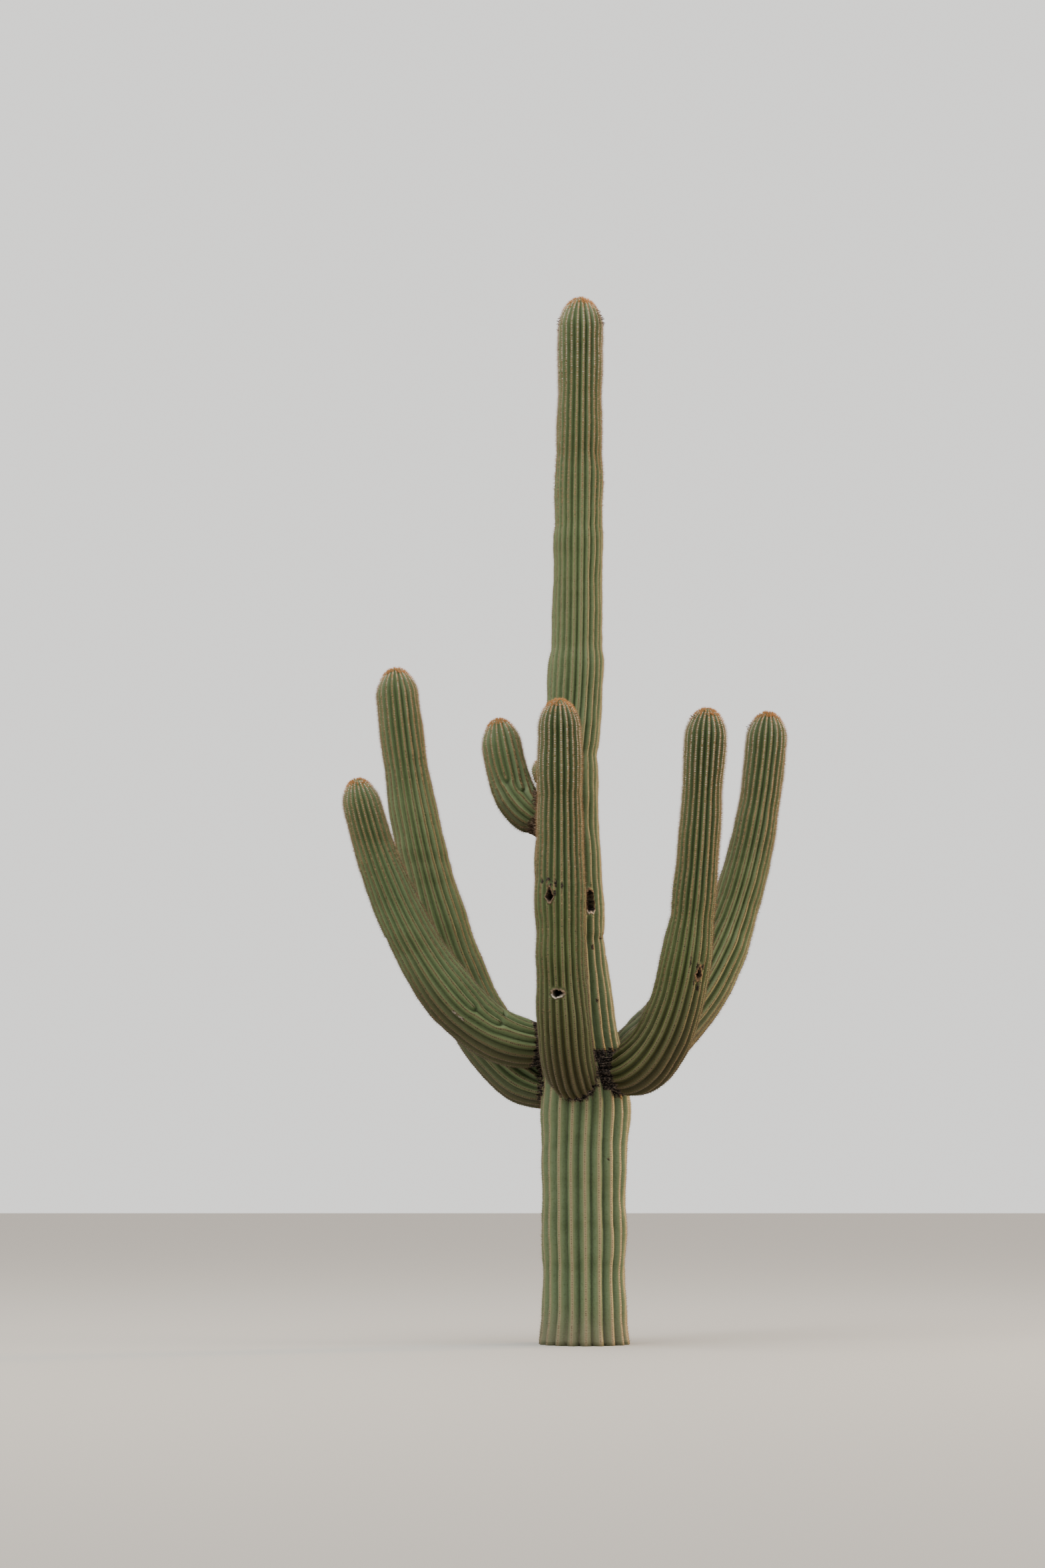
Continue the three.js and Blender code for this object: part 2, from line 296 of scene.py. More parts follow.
# The kinds of pad: material, slot, and length, width and height
PADS = {
    "felt": ("areole_felt", "spines", 0.0118, 0.0105, 0.003),
    "felt_worn": ("areole_felt", "spines", 0.0145, 0.0132, 0.0035),
    "wool": ("areole_wool", "wool", 0.0105, 0.014, 0.0055),
    "wool_cream": ("areole_wool_cream", "wool", 0.0105, 0.013, 0.005),
    "wool_old": ("areole_wool_old", "wool", 0.0105, 0.0115, 0.0042),
}
PAD_SIDES = 5
PAD_SUNK = 0.002

# The kinds of spine: how many lie flat and how many stand out at a pad, their radius at the root,
# their length as a share, and how far they turn upwards
SPINES = {
    "worn": (4, 2, 0.001, 0.8, 0),
    "old": (4, 1, 0.0011, 1, 0),
    "grown": (6, 3, 0.0012, 1, 0),
    "young": (6, 5, 0.0012, 0.9, 0),
    "crown": (6, 7, 0.0014, 0.8, 0.3),
}
FLAT_LENGTH = (0.013, 0.025)
FLAT_LEAN = (1.0, 1.45)  # from straight out, in radians
LONG_LENGTH = (0.02, 0.036)
LONG_LEAN = (0.15, 0.85)
SPINE_SUNK = 0.001
TUFT_PLACES = 110  # pads crowded on the top of each tip
TUFT_REACH = 0.62  # as a share of the radius
TUFT_HEAD = 0.17  # radius of a tip whose tuft has spines of the crown's length

# Dried flowers: the stem, how many, which way they face, how far round, and how far down from the tip
FLOWERS = [
    ("trunk", 26, -14, 32, (0.08, 0.25)),
    ("trunk", 6, -172, 22, (0.17, 0.3)),
    ("trunk", 5, 80, 60, (0.12, 0.25)),
    ("arm_front", 3, -30, 30, (0.1, 0.2)),
    ("arm_left_rear", 4, 100, 60, (0.08, 0.25)),
    ("arm_right_front", 5, -145, 30, (0.05, 0.13)),
    ("arm_right_front", 2, -8, 25, (0.18, 0.3)),
    ("arm_right_rear", 5, 178, 25, (0.07, 0.17)),
]
FLOWER_GIRTH = [0.0028, 0.0045, 0.0032, 0.004, 0.0012]
FLOWER_FLAT = 0.6  # its depth over its width
FLOWER_LENGTH = (0.02, 0.042)
FLOWER_CURL = (0.15, 0.6)  # radians from each ring to the next
FLOWER_SIDES = 5
FLOWER_SUNK = 0.003


def through(rows, place):
    """A smooth curve through rows of (place, value), with no change past either end."""
    at, value = np.array(rows, float).T
    before = np.maximum(np.arange(len(at)) - 1, 0)
    after = np.minimum(np.arange(len(at)) + 1, len(at) - 1)
    slope = (value[after] - value[before]) / (at[after] - at[before])
    place = np.clip(place, at[0], at[-1])
    i = np.clip(np.searchsorted(at, place, side="right") - 1, 0, len(at) - 2)
    span = at[i + 1] - at[i]
    t = (place - at[i]) / span
    start = value[i] * (1 + 2 * t) * (1 - t) ** 2 + slope[i] * span * t * (1 - t) ** 2
    return start + value[i + 1] * t * t * (3 - 2 * t) + slope[i + 1] * span * t * t * (t - 1)


def smooth(low, high, x):
    """Rises from 0 to 1 as x goes from low to high."""
    t = np.clip((x - low) / (high - low), 0, 1)
    return t * t * (3 - 2 * t)


def turned(angle):
    """The angle brought to within half a turn of nought."""
    return (angle + math.pi) % (2 * math.pi) - math.pi


def unit(ways):
    return ways / (np.linalg.norm(ways, axis=-1, keepdims=True) + 1e-9)


def swung(turn, start, side):
    """The ways that lie at an angle from start, towards side."""
    turn = np.asarray(turn)[..., None]
    return np.cos(turn) * start + np.sin(turn) * side


def lumps(spec, points, octaves=3):
    """Soft noise by its seed, height and size: sums of sines in random directions, finer by octaves."""
    seed, height, size = spec
    own = np.random.default_rng(seed)
    total = np.zeros(len(points))
    weight = 1.0
    for _ in range(octaves):
        for _ in range(6):
            way = own.normal(size=3)
            way *= 2 * math.pi / size / np.linalg.norm(way) * own.uniform(0.6, 1.4)
            total += weight * np.sin(points @ way + own.uniform(0, 2 * math.pi)) / 3
        weight *= 0.5
        size *= 0.45
    return height * total


class Stem:
    """A stem's centreline, radius and rib pattern, all worked out along its length."""

    def __init__(self, name, spec):
        self.name = name
        self.spec = spec
        self.births = []
        if name == "trunk":
            self.bearing = 0.0
            self.length = TRUNK_HEIGHT
            self.girth = TRUNK_RADIUS
        else:
            self.bearing = math.radians(spec["bearing"])
            self.trace(spec)
            places = [spec.get("neck_at", NECK_AT), spec.get("elbow_at", ELBOW_AT)]
            places += [share * self.length for share in GIRTHS_AT]
            self.girth = list(zip(places, spec["radii"]))
        self.head = self.girth[-1][1]
        self.dome_height = self.head * DOME_SLENDER
        self.side = np.array([-math.sin(self.bearing), math.cos(self.bearing), 0.0])
        self.wander = []
        for waves in WANDER_WAVES:
            size = rng.uniform(*WANDER_SIZE)
            rate = rng.uniform(*WANDER_RATE) * rng.choice([-1, 1])
            self.wander.append((size, waves, rate, rng.uniform(0, 6.28)))
        self.place_births(spec["births"])

    def nodes(self):
        if self.name in ONE_NODE:
            return (self.name,)
        return self.name + "_elbow", self.name + "_upright"

    def trace(self, spec):
        """The corners of the arm's curve, and its length up to each of many even steps."""
        root, launch, upright, (reach, height) = (spec[key] for key in ("root", "launch", "upright", "tip"))
        rise, lean = math.radians(spec["rise"]), math.radians(spec["lean"])
        inside = spec.get("inside", ROOT_INSIDE)
        out = np.array([inside, inside + launch * math.cos(rise), reach - upright * math.sin(lean), reach])
        up = [root, root + launch * math.sin(rise), height - upright * math.cos(lean), height]
        axis = float(through(TRUNK_LEAN, root))
        self.corners = np.column_stack(
            [axis + out * math.cos(self.bearing), out * math.sin(self.bearing), up]
        )
        self.steps = np.linspace(0, 1, CURVE_STEPS + 1)
        gaps = np.linalg.norm(np.diff(self.bezier(self.steps), axis=0), axis=1)
        self.lengths = np.concatenate([[0], np.cumsum(gaps)])
        self.length = float(self.lengths[-1])

    def bezier(self, t):
        a, b, c, d = self.corners
        t = np.asarray(t, float)[..., None]
        return (1 - t) ** 3 * a + 3 * (1 - t) ** 2 * t * b + 3 * (1 - t) * t * t * c + t**3 * d

    def centre(self, along):
        along = np.asarray(along, float)
        if self.name == "trunk":
            return np.stack([through(TRUNK_LEAN, along), np.zeros_like(along), along], axis=-1)
        return self.bezier(np.interp(along, self.lengths, self.steps))

    def tangent(self, along):
        along = np.asarray(along, float)
        if self.name == "trunk":
            return np.broadcast_to([0.0, 0.0, 1.0], along.shape + (3,))
        a, b, c, d = self.corners
        t = np.interp(along, self.lengths, self.steps)[..., None]
        return unit((1 - t) ** 2 * (b - a) + 2 * (1 - t) * t * (c - b) + t * t * (d - c))

    def radius(self, along):
        """Over the crests, without the rounding of the tip."""
        along = np.asarray(along, float)
        swelling = 1 + sum(
            share * np.sin(2 * math.pi * along / length + self.spec["swell_from"] * (k + 1))
            for k, (length, share) in enumerate(SWELL)
        )
        for at, lost, width in self.spec["pinches"]:
            swelling = swelling - lost * np.exp(-(((along - at) / width) ** 2))
        return through(self.girth, along) * swelling

    def dome(self, along):
        """The share of the radius that is left within the rounded tip."""
        into = np.clip((along - (self.length - self.dome_height)) / self.dome_height, 0, 1)
        return np.sqrt(np.maximum(0, 1 - into**DOME_POWER))

    def young(self, left):
        """How young the skin is, by its distance from the tip."""
        return 1 - smooth(*YOUNG_FADE, left - self.spec["young"][0])

    def background(self, along, angle, skip=None):
        """The rib pattern's phase, which grows by a turn from each rib to the next round the stem."""
        phase = (self.spec["ribs"] - len(self.spec["births"])) * angle
        for size, waves, rate, start in self.wander:
            phase = phase + size * np.sin(waves * angle + rate * along + start)
        for k, (at, round_to, radius) in enumerate(self.births):
            phase = phase + angle / 2
            if k != skip:
                offset = (angle - round_to) + 1j * (along - at) / (BIRTH_SPREAD * radius)
                phase = phase - np.angle(np.sin(offset / 2))
        return phase

    def place_births(self, births):
        """Each new rib is moved to the nearest groove, so that it starts between two others."""
        self.births = [[at, math.radians(degrees), float(self.radius(at))] for at, degrees in births]
        for _ in range(BIRTH_MOVES):
            for k, birth in enumerate(self.births):
                phase = self.background(birth[0], birth[1], skip=k)
                off = turned(float(phase) - math.pi / 2)
                birth[1] -= 0.3 * off / self.spec["ribs"]

    def height(self, along, angle):
        """How high the skin stands between groove, 0, and crest, 1."""
        turn = self.background(along, angle) / (2 * math.pi)
        across = np.abs(2 * (turn - np.round(turn)))
        roundness = CREST_YOUNG + (CREST_OLD - CREST_YOUNG) * smooth(*CREST_AGES, self.length - along)
        up = 1 - across**roundness
        for at, round_to, radius in self.births:
            up = up * smooth(0, BIRTH_ROUND, np.hypot(turned(angle - round_to) * radius, along - at))
        return up

    def frame(self, along):
        """The way along the stem, and the way out that lies in its own plane."""
        way = self.tangent(along)
        return way, unit(np.cross(np.broadcast_to(self.side, way.shape), way))

    def point(self, along, angle, radius):
        _, out = self.frame(along)
        return self.centre(along) + radius[..., None] * swung(angle, self.side, out)

    def facing(self, bearing):
        """The angle round the stem of the place that faces a bearing."""
        return math.radians(math.degrees(self.bearing) + 90 - bearing)

    def scars(self):
        """The stem's scars, each with its seed."""
        first, scars = SCARS.get(self.name, (0, []))
        return enumerate(scars, first)

    def close_ranges(self):
        """Where the skin needs rings close together: lowest, highest and step."""
        for nest in NESTS.get(self.name, []):
            half = nest["height"] / 2 + nest["lip"] + 0.02
            yield nest["along"] - half, nest["along"] + half, NEST_ROW_STEP
        below, above = BIRTH_CLOSE
        for at, _, _ in self.births:
            yield at - below, at + above, CLOSE_STEP
        for _, (at, _, _, height, _) in self.scars():
            yield at - height / 2 - CLOSE_BEYOND, at + height / 2 + CLOSE_BEYOND, CLOSE_STEP
        yield from CORK_ROWS.get(self.name, CORK_ROWS["arm"])

    def rows(self):
        """Where the skin's rings lie: even, close by the details, and by angle over the dome."""
        straight = self.length - self.dome_height
        places = np.linspace(0, straight, int(straight / ROW_STEP) + 1)
        for low, high, step in self.close_ranges():
            places = places[(places < low - step / 2) | (places > high + step / 2)]
            places = np.sort(np.concatenate([places, np.arange(low, high, step)]))
        places = places[np.append(True, np.diff(places) > NEST_ROW_STEP / 2) & (places <= straight)]
        turns = np.linspace(0, math.acos(TIP_LEFT), DOME_ROWS + 1)[1:]
        return np.concatenate([places, straight + self.dome_height * np.sin(turns)])

    def nest_at(self, k, nest, along, angle, crest):
        """Shares of a nest's pit, lip and pale lip, how flat the ribs are, and how much painted shade it has.
        """
        x = turned(angle - self.facing(nest["bearing"])) * crest
        y = along - nest["along"]
        half = nest["width"] / 2, nest["height"] / 2
        power = nest["corners"]
        edge = (np.abs(x / half[0]) ** power + np.abs(y / half[1]) ** power) ** (1 / power)
        turn = np.arctan2(y / half[1], x / half[0])
        torn = sum(weight * np.sin(waves * turn + shift * k) for waves, shift, weight in NEST_TEETH)
        gap = (edge - 1 + nest["torn"] * torn) * min(half)
        pit = smooth(*NEST_WALL, gap)
        lip = smooth(nest["lip"], nest["lip"] * 0.45, gap) * (1 - pit)
        above, below = nest["pale"]
        upper = smooth(-0.25, 0.25, y / half[1] - nest["pale_to"])
        pale = lip * (below + (above - below) * upper)
        return pit, lip, pale, smooth(*NO_RIBS, gap - nest["lip"]), smooth(*NEST_SHADE, gap)

    def skin_radius(self, along, angle):
        """The skin's distance from the centreline, and the shares of rib, hole, lip and pale lip there."""
        up = self.height(along, angle)
        crest = self.radius(along) * self.dome(along)
        fade = smooth(0, RIBS_FADE, self.dome(along))
        hole, lip, pale, sunk = (np.zeros_like(crest) for _ in range(4))
        for k, nest in enumerate(NESTS.get(self.name, [])):
            pit, own_lip, own_pale, flat, dark = self.nest_at(k, nest, along, angle, crest)
            up = up * (1 - flat) + 0.7 * flat
            hole = np.maximum(hole, dark)
            lip = np.maximum(lip, own_lip)
            pale = np.maximum(pale, own_pale)
            sunk = sunk + nest["depth"] * pit - LIP_PROUD * own_lip
        return crest * (1 - GROOVE * fade * (1 - up)) - sunk, up, hole, lip, pale

    def skin_point(self, along, angle):
        return self.point(along, angle, self.skin_radius(along, angle)[0])

    def uneven(self, points, along):
        """How far the slow bumps raise the skin at each point."""
        return lumps(UNEVEN, points) * self.dome(along)


def add_mesh(name, points, faces, smooth_faces=True, **values):
    """A mesh object from its points and its lists of faces, with named numbers kept at its points."""
    mesh = bpy.data.meshes.new(name)
    mesh.vertices.add(len(points))
    mesh.vertices.foreach_set("co", np.asarray(points, np.float32).ravel())
    corners = np.concatenate([np.asarray(f, np.int32).ravel() for f in faces])
    sizes = np.concatenate([np.full(len(f), np.asarray(f).shape[1], np.int32) for f in faces])
    mesh.loops.add(len(corners))
    mesh.loops.foreach_set("vertex_index", corners)
    mesh.polygons.add(len(sizes))
    mesh.polygons.foreach_set("loop_start", np.concatenate([[0], np.cumsum(sizes)[:-1]]).astype(np.int32))
    mesh.polygons.foreach_set("use_smooth", np.full(len(sizes), smooth_faces))
    for key, value in values.items():
        kept = mesh.attributes.new(key, "FLOAT", "POINT")
        kept.data.foreach_set("value", np.asarray(value, np.float32).ravel())
    mesh.update(calc_edges=True)
    obj = bpy.data.objects.new(name, mesh)
    bpy.context.collection.objects.link(obj)
    return obj


def dress(obj, material, slot, *nodes):
    """Gives a piece its material, hangs it under the root, and hides the imported parts that it stands for.
    Its slot is not used.
    """
    obj.data.materials.append(material)
    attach(obj, "root")
    if nodes:
        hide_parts(*nodes)


def grid_faces(rows, columns):
    """Quads between the rings of a closed tube, wound to face out."""
    low = (np.arange(rows - 1) * columns)[:, None] + np.arange(columns)
    across = np.roll(low, -1, axis=1)
    return np.stack([low, low + columns, across + columns, across], axis=-1).reshape(-1, 4)


def caps(rows, columns, start, end):
    """Triangles that close a tube's two ends, each to a point of its own."""
    ring = np.arange(columns)
    top = (rows - 1) * columns + ring
    first = np.stack([np.full(columns, start), ring, np.roll(ring, -1)], axis=-1)
    last = np.stack([np.full(columns, end), np.roll(top, -1), top], axis=-1)
    return np.concatenate([first, last])


# Cork and scars
def trunk_gap(points):
    """How far each point is outside the trunk's crests."""
    centre = TRUNK_STEM.centre(points[:, 2])
    return np.hypot(*(points - centre)[:, :2].T) - TRUNK_STEM.radius(points[:, 2])


def patch(stem, spec, points):
    """How far across and up each point of the trunk is from a patch's middle, over its half sizes."""
    bearing = np.arctan2(points[:, 1], points[:, 0] - through(TRUNK_LEAN, points[:, 2]))
    across = turned(bearing - math.radians(spec["bearing"])) * stem.radius(spec["height"])
    wide, high = spec["half"]
    return across / wide, (points[:, 2] - spec["height"]) / high


def cork_on_trunk(stem, points, ragged):
    """Cork by each arm's neck and in the band, less the green skin that is left in the band."""
    cork = np.zeros(len(points))
    line = np.linspace(0, CORK_NECK, 24)
    for arm in ARM_STEMS:
        balls = zip(arm.centre(line), arm.radius(line))
        gap = np.min([np.linalg.norm(points - c, axis=1) - r for c, r in balls], axis=0)
        cork = np.maximum(cork, smooth(*CORK_NEAR_ARM, gap + ragged))
    band = np.max(np.abs(patch(stem, CORK_BAND, points)), axis=0)
    cork = np.maximum(cork, smooth(1.1, 0.9, band + 10 * ragged))
    return cork * smooth(0.7, 1.3, np.hypot(*patch(stem, LIVING, points)) + 20 * ragged)


def cork_on(stem, points, along):
    """Where the skin has turned to cork: at each junction, and in a band across the trunk's front."""
    ragged = sum(lumps(bites, points) for bites in CORK_RAGGED)
    if stem.name == "trunk":
        return cork_on_trunk(stem, points, ragged)
    by_trunk = smooth(*CORK_EDGE, trunk_gap(points) + ragged - COLLARS.get(stem.name, COLLARS["arm"]))
    return np.maximum(by_trunk, smooth(*CORK_EDGE, along + 0.7 * ragged - CORK_TO.get(stem.name, 0)))


def scars_on(stem, points):
    """The share of scar at each point, and of grey in it."""
    scar, grey = np.zeros(len(points)), np.zeros(len(points))
    share, size = SCAR_TORN
    for seed, (place, bearing, width, height, greyness) in stem.scars():
        along, angle = np.array([place]), np.array([stem.facing(bearing)])
        middle = stem.point(along, angle, stem.radius(along))[0]
        way = stem.frame(along)[0][0]
        up = (points - middle) @ way
        across = np.linalg.norm(points - middle - up[:, None] * way, axis=1)
        torn = lumps((seed, share, size), points)
        own = smooth(*SCAR_EDGE, np.hypot(across / (width / 2), up / (height / 2)) + torn)
        grey = np.where(own > scar, greyness * own, grey)
        scar = np.maximum(scar, own)
    return scar, grey


# Skins
def make_skin(stem):
    """A stem's skin in rings, with the shares at each point that its material is painted by."""
    rows = stem.rows()
    columns = stem.spec["ribs"] * COLUMNS_PER_RIB
    turns = np.arange(columns) * 2 * math.pi / columns
    along, angle = (grid.ravel() for grid in np.meshgrid(rows, turns, indexing="ij"))
    radius, rib, hole, lip, pale = stem.skin_radius(along, angle)
    points = stem.point(along, angle, radius)
    out = unit(points - stem.centre(along))
    cork = cork_on(stem, points, along)
    scar, grey = scars_on(stem, points)
    fresh = scar * (1 - grey)
    relief = stem.uneven(points, along)
    relief += cork * (lumps(CORK_LAYERS, points * (CORK_FLAT, CORK_FLAT, 1), 2) - CORK_SUNK)
    relief += lip * lumps(LIP_LUMPS, points, 2) - SCAR_DEPTH * fresh
    points = points + out * relief[:, None]
    points[:, 2] = np.maximum(points[:, 2], 0)
    ends = np.array([stem.centre(0.0), stem.centre(stem.length - TIP_SUNK)])
    # Skin that faces down near an arm's bend: painted shade there, partly real brown
    under = smooth(*BROWN_AND_SHADE_FACING, -out[:, 2]) * smooth(*BROWN_AND_SHADE_UNDER, along)
    obj = add_mesh(
        stem.name + "_skin",
        np.concatenate([points, ends]),
        [grid_faces(len(rows), columns), caps(len(rows), columns, len(points), len(points) + 1)],
        rib=np.append(rib, [0, 0]),
        along=np.append(along, [0, stem.length]),
        tip=np.append(stem.length - along, [stem.length, 0]),
        young=np.append(stem.young(stem.length - along), [0, 1]),
        under=np.append(under, [0, 0]),
        sage=np.full(len(points) + 2, stem.spec["sage"]),
        chalk=np.full(len(points) + 2, CHALKY_AND_HIGHLIGHT.get(stem.name, CHALKY_AND_HIGHLIGHT_ARM)),
        cork=np.append(np.maximum.reduce([cork, lip, scar]), [0, 0]),
        hole=np.append(np.maximum(hole, SCAR_DARK * fresh), [0, 0]),
        pale=np.append(np.maximum(pale, grey), [0, 0]),
        bark=np.append(np.maximum(cork * CORK_BLACK.get(stem.name, 1), fresh), [0, 0]),
    )
    dress(obj, SKIN, "skin", *stem.nodes())


# Pads in rows along the crests
def pad_places(stem):
    """Where the pads are: how far along, how far round, and their distance from the tip."""
    steps = [FIRST_PAD]
    while steps[-1] < stem.length:
        steps.append(steps[-1] + float(through(PITCH, steps[-1])))
    along = stem.length - np.array(steps[:-1])
    angles = np.linspace(0, 2 * math.pi, stem.spec["ribs"] * 24 + 1)
    found = []
    for place in along:
        turn = np.maximum.accumulate(np.unwrap(stem.background(place, angles)) / (2 * math.pi))
        for crest in np.arange(math.ceil(turn[0]), math.ceil(turn[-1] - 1e-9)):
            found.append((place, np.interp(crest, turn, angles), crest % RIB_SHIFTS))
    place, angle, rib = np.array(found).T
    jitter = rng.uniform(-PAD_JITTER, PAD_JITTER, len(place))
    place = place - through(PITCH, stem.length - place) * (rib / RIB_SHIFTS + jitter)
    place = np.clip(place, 0.01, stem.length - 0.003)
    return place, angle, stem.length - place


def pads_of(stem):
    """The pads that show: their places in space, with the ways out, up and across at each."""
    place, angle, left = pad_places(stem)
    radius, up, hole, lip, _ = stem.skin_radius(place, angle)
    point = stem.point(place, angle, radius)
    rise = unit(stem.skin_point(np.minimum(place + 0.004, stem.length - 0.001), angle) - point)
    across = stem.skin_point(place, angle + 0.02) - stem.skin_point(place, angle - 0.02)
    out = unit(np.cross(across, rise))
    out *= np.sign(np.sum(out * (point - stem.centre(place)), axis=1))[:, None]
    across = np.cross(rise, out)
    point = point + out * stem.uneven(point, place)[:, None]
    dome = stem.dome(place)
    keep = (up > 0.8) & (hole < 0.05) & (lip < 0.5)
    keep &= (cork_on(stem, point, place) < 0.6) & (scars_on(stem, point)[0] < 0.5)
    keep &= rng.uniform(size=len(place)) > smooth(*TIP_BARE_OVER, dome) * TIP_BARE
    keep &= point[:, 2] > 0.02 if stem.name == "trunk" else trunk_gap(point) > 0.0
    pads = {"point": point, "out": out, "rise": rise, "across": across}
    return pick(pads | {"left": left, "along": place, "dome": dome}, keep)


def pick(pads, mask):
    return {key: value[mask] for key, value in pads.items()}


def tuft(stem):
    """Places scattered over the top of a stem's tip, with the ways out, up and across at each."""
    share = TUFT_REACH * np.sqrt(rng.uniform(0.01, 1, TUFT_PLACES))
    angle = rng.uniform(0, 2 * math.pi, TUFT_PLACES)
    level = (1 - share * share) ** (1 / DOME_POWER)
    along = stem.length - stem.dome_height * (1 - level)
    point = stem.point(along, angle, stem.head * share * (1 - GROOVE * share / 2))
    way, sideways = stem.frame(along)
    around = swung(angle, stem.side, sideways)
    out = unit(around * (share / stem.head)[:, None] + way * (level / stem.dome_height)[:, None])
    across = np.cross(way, around)
    return {"point": point, "out": out, "rise": np.cross(out, across), "across": across}


def make_pads(stem, kind, pads):
    """A low cushion at each pad, joined into one mesh."""
    count = len(pads["point"])
    if not count:
        return
    material, slot, long, wide, high = PADS[kind]
    size = rng.uniform(0.8, 1.2, count)[:, None]
    turn = np.arange(PAD_SIDES) * 2 * math.pi / PAD_SIDES
    point, out, rise, across = (pads[key][:, None] for key in ("point", "out", "rise", "across"))
    rim = point + swung(turn, rise * long / 2, across * wide / 2) * size[:, None] - out * PAD_SUNK
    points = np.concatenate([rim.reshape(-1, 3), pads["point"] + pads["out"] * high * size])
    ring = np.arange(count)[:, None] * PAD_SIDES + np.arange(PAD_SIDES)
    peak = np.broadcast_to((count * PAD_SIDES + np.arange(count))[:, None], ring.shape)
    faces = np.stack([peak, np.roll(ring, -1, axis=1), ring], axis=-1).reshape(-1, 3)
    dress(add_mesh(f"{stem.name}_{kind}", points, [faces]), PLAIN[material], slot)


def fan(pads, per_pad, length, spread):
    """Spines' roots, ways and lengths: a fan round each pad, leaning away from straight out by the spread."""
    count = len(pads["point"])
    turn = np.arange(per_pad) * 2 * math.pi / per_pad + rng.uniform(-0.5, 0.5, (count, per_pad))
    lean = rng.uniform(*spread, (count, per_pad))
    side = swung(turn, pads["rise"][:, None], pads["across"][:, None])
    way = swung(lean, pads["out"][:, None], side)
    root = np.repeat(pads["point"], per_pad, axis=0)
    return root, way.reshape(-1, 3), rng.uniform(*length, count * per_pad)


def make_spines(name, kind, pads, longer=1.0):
    """Three-sided spikes that fan out from each pad: short flat ones, and long ones that stand out."""
    if not len(pads["point"]):
        return
    flat, long, thick, stretch, upright = SPINES[kind]
    fans = fan(pads, flat, FLAT_LENGTH, FLAT_LEAN), fan(pads, long, LONG_LENGTH, LONG_LEAN)
    root, way, length = (np.concatenate(pair) for pair in zip(*fans))
    way = unit(way + np.array([0, 0, upright]))
    total = len(root)
    root = root - SPINE_SUNK * way
    tips = root + way * length[:, None] * (stretch * longer)
    first = unit(np.cross(way, rng.normal(size=(total, 3))))
    second = np.cross(way, first)
    thick = thick * rng.uniform(0.7, 1.2, (total, 1))
    corners = [root + thick * swung(2 * math.pi / 3 * k, first, second) for k in range(3)]
    a, b, c, d = (np.arange(total) + k * total for k in range(4))
    faces = np.concatenate([np.stack(f, axis=-1) for f in ((a, b, d), (b, c, d), (c, a, d))])
    dress(add_mesh(name, np.concatenate(corners + [tips]), [faces], False), PLAIN["spine_" + kind], "spines")


# Dried flowers
def flower(root, out, bend):
    """Rings of points along a dried flower that curls from its root, and a point at either end."""
    step = rng.uniform(*FLOWER_LENGTH) / (len(FLOWER_GIRTH) - 1)
    curl = rng.uniform(*FLOWER_CURL)
    turn = np.arange(FLOWER_SIDES) * 2 * math.pi / FLOWER_SIDES
    start = root - FLOWER_SUNK * out
    place, way = start, out
    rings = []
    for girth in FLOWER_GIRTH:
        side = unit(np.cross(way, bend))
        other = np.cross(way, side)
        rings.append(place + girth * rng.uniform(0.7, 1.3) * swung(turn, side, FLOWER_FLAT * other))
        way = unit(swung(curl, way, bend))
        place = place + way * step
    return np.concatenate(rings + [[start, place - way * step * 0.8]])


def pads_with_flowers(stem, pads):
    """Which pads the stem's dried flowers hang on."""
    facing = np.degrees(np.arctan2(*(pads["point"] - stem.centre(pads["along"]))[:, 1::-1].T))
    chosen = []
    for name, count, bearing, spread, (near, far) in FLOWERS:
        if name == stem.name:
            off = np.abs((facing - bearing + 180) % 360 - 180)
            fit = np.flatnonzero((off < spread) & (pads["left"] > near) & (pads["left"] < far))
            chosen.extend(rng.choice(fit, count, replace=False))
    return chosen


def make_flowers(stem, pads):
    """Dried flowers that still hang on the pads below a tip, joined into one mesh."""
    chosen = pads_with_flowers(stem, pads)
    if not chosen:
        return
    rings = len(FLOWER_GIRTH)
    each = rings * FLOWER_SIDES
    points, sides, ends = [], [], []
    for k, pad in enumerate(chosen):
        out, rise, across = (pads[key][pad] for key in ("out", "rise", "across"))
        bend = rng.normal() * across + rng.uniform(-1, 0.3) * rise + rng.normal() * 0.3 * out
        points.append(flower(pads["point"][pad], out, unit(bend)))
        start = k * (each + 2)
        sides.append(grid_faces(rings, FLOWER_SIDES) + start)
        ends.append(caps(rings, FLOWER_SIDES, each, each + 1) + start)
    faces = [np.concatenate(sides), np.concatenate(ends)]
    dress(add_mesh(stem.name + "_flowers", np.concatenate(points), faces), PLAIN["dried_flower"], "cork")


# Plain materials: colour and roughness
PLAIN_LOOKS = {
    "areole_felt": ((0.03, 0.02, 0.012), 0.95),
    "areole_wool": ((0.5, 0.455, 0.37), 0.95),
    "areole_wool_cream": ((0.34, 0.285, 0.205), 0.95),
    "areole_wool_old": ((0.2, 0.155, 0.1), 0.95),
    "spine_worn": ((0.13, 0.085, 0.05), 0.7),
    "spine_old": ((0.26, 0.18, 0.1), 0.6),
    "spine_grown": ((0.165, 0.1, 0.047), 0.6),
    "spine_young": ((0.28, 0.17, 0.078), 0.55),
    "spine_crown": ((0.42, 0.205, 0.065), 0.6),
    "dried_flower": ((0.05, 0.024, 0.012), 0.8),
    "floor_pale": ((0.38, 0.37, 0.345), 0.9),
}


def nodes_of(name, roughness):
    material = bpy.data.materials.new(name)
    material.use_nodes = True
    tree = material.node_tree
    shader = tree.nodes["Principled BSDF"]
    shader.inputs["Roughness"].default_value = roughness
    return material, tree, shader


def plain(name, colour, roughness):
    material, _, shader = nodes_of(name, roughness)
    shader.inputs["Base Color"].default_value = (*colour, 1)
    material.diffuse_color = (*colour, 1)
    return material


